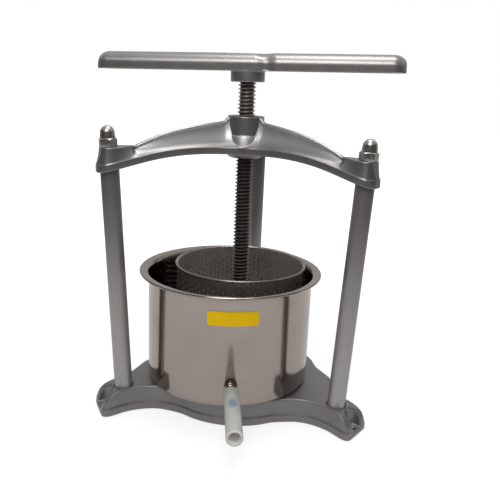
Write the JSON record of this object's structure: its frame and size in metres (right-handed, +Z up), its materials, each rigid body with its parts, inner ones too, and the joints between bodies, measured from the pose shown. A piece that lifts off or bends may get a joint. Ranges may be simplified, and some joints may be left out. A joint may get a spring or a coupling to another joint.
{
  "type": "fruit press",
  "caption": "Hand-turned fruit press: three-post frame with an arched crossbeam, screw with a bar handle, strainer basket inside a steel pot with a spout and hose.",
  "frame": {"origin": "on the floor under the screw's axis, at the middle of the base's underside", "axes": "+Z up along the screw; -Y to the front, between the two front posts; +X to the right seen from the front"},
  "size_m": [0.407, 0.4473, 0.4806],
  "materials": {
    "base_paint": "satin silver-grey paint on a casting",
    "crossbeam_paint": "satin silver-grey paint on a casting",
    "handle_paint": "satin silver-grey paint on a casting",
    "pillar_satin": "satin grey tube",
    "nickel": "nickel plate",
    "zinc_steel": "zinc plated",
    "nut_bronze": "machined",
    "screw_steel": "machined, greased",
    "black_steel": "blackened",
    "plate_metal": "machined",
    "basket_steel": "perforated stainless sheet",
    "pot_steel": "polished stainless sheet",
    "spout_steel": "polished stainless pipe",
    "hose_silicone": "milky translucent",
    "label_yellow": "plain sticker"
  },
  "bodies": {
    "root": {"base": "base_paint", "pillar_left": "pillar_satin", "pillar_right": "pillar_satin", "pillar_rear": "pillar_satin", "tie_rod_left": "zinc_steel", "tie_rod_right": "zinc_steel", "tie_rod_rear": "zinc_steel", "dome_nut_left": "nickel", "dome_nut_right": "nickel", "dome_nut_rear": "nickel", "base_nut_left": "zinc_steel", "base_nut_right": "zinc_steel", "base_nut_rear": "zinc_steel", "base_washer_left": "zinc_steel", "base_washer_right": "zinc_steel", "base_washer_rear": "zinc_steel", "crossbeam": "crossbeam_paint", "screw_nut": "nut_bronze"},
    "press": {"press_plate": "plate_metal", "thrust_washer": "zinc_steel"},
    "screw": {"screw": "screw_steel", "handle": "handle_paint", "handle_set_screw": "black_steel", "retaining_washer": "zinc_steel", "retaining_bolt": "zinc_steel"},
    "basket": {"basket": "basket_steel"},
    "pot": {"pot": "pot_steel", "spout": "spout_steel", "hose": "hose_silicone", "label": "label_yellow"}
  },
  "joints": [
    {"name": "press_travel", "type": "slide", "parent": "root", "child": "press", "axis": [0, 0, 1], "range_m": [-0.0432, 0.233]},
    {"name": "screw_turn", "type": "hinge", "parent": "press", "child": "screw", "pos_m": [0, 0, 0.4], "axis": [0, 0, 1], "range_deg": [-3108, 16770]},
    {"name": "basket_lift", "type": "slide", "parent": "root", "child": "basket", "axis": [0, 0, 1], "range_m": [0, 0.145]},
    {"name": "pot_turn", "type": "hinge", "parent": "root", "child": "pot", "pos_m": [-0.0118, -0.0134, 0.034], "axis": [0, 0, 1], "range_deg": [-62, 46]}
  ],
  "couplings": [
    {"joint": "press_travel", "follows": "screw_turn", "m_per_rad": 0.00079577}
  ]
}
